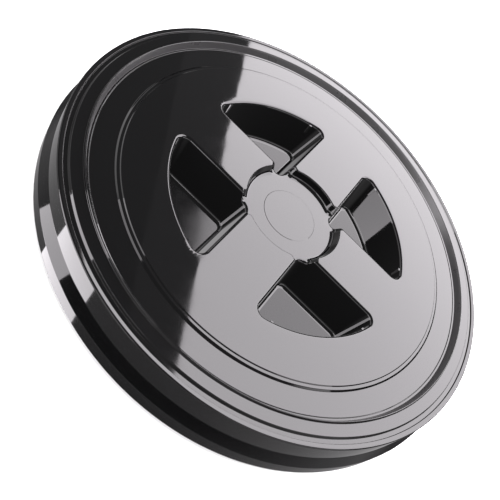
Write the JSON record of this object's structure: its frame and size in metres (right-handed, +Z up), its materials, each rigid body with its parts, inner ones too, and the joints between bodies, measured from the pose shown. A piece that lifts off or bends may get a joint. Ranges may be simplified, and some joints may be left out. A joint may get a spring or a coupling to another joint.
{
  "type": "screw-top pail lid",
  "caption": "Screw-top pail lid in black plastic: a ring snaps over the pail's rim, and a threaded centre lid with finger-grip pockets unscrews from it.",
  "frame": {"origin": "on the axis of the lid, at the foot of the ring's threaded collar, which is the lowest point", "axes": "+Z up along the lid's axis, out of the pail; +X and +Y along the arms between the grip pockets"},
  "size_m": [0.324, 0.324, 0.0395],
  "materials": {
    "ring_plastic": "glossy black moulded polypropylene",
    "lid_plastic": "glossy black moulded polypropylene",
    "seal_rubber": "matt black rubber"
  },
  "bodies": {
    "ring": {"adapter_ring": "ring_plastic", "rim_gasket": "seal_rubber"},
    "seal": {"lid_gasket": "seal_rubber"},
    "lid": {"screw_lid": "lid_plastic"}
  },
  "joints": [
    {"name": "lid_lift", "type": "slide", "parent": "ring", "child": "seal", "axis": [0, 0, 1], "range_m": [0, 0.0151]},
    {"name": "lid_turn", "type": "hinge", "parent": "seal", "child": "lid", "pos_m": [0, 0, 0], "axis": [0, 0, 1], "range_deg": [0, 900]}
  ],
  "couplings": [
    {"joint": "lid_lift", "follows": "lid_turn", "m_per_rad": 0.00095493}
  ]
}
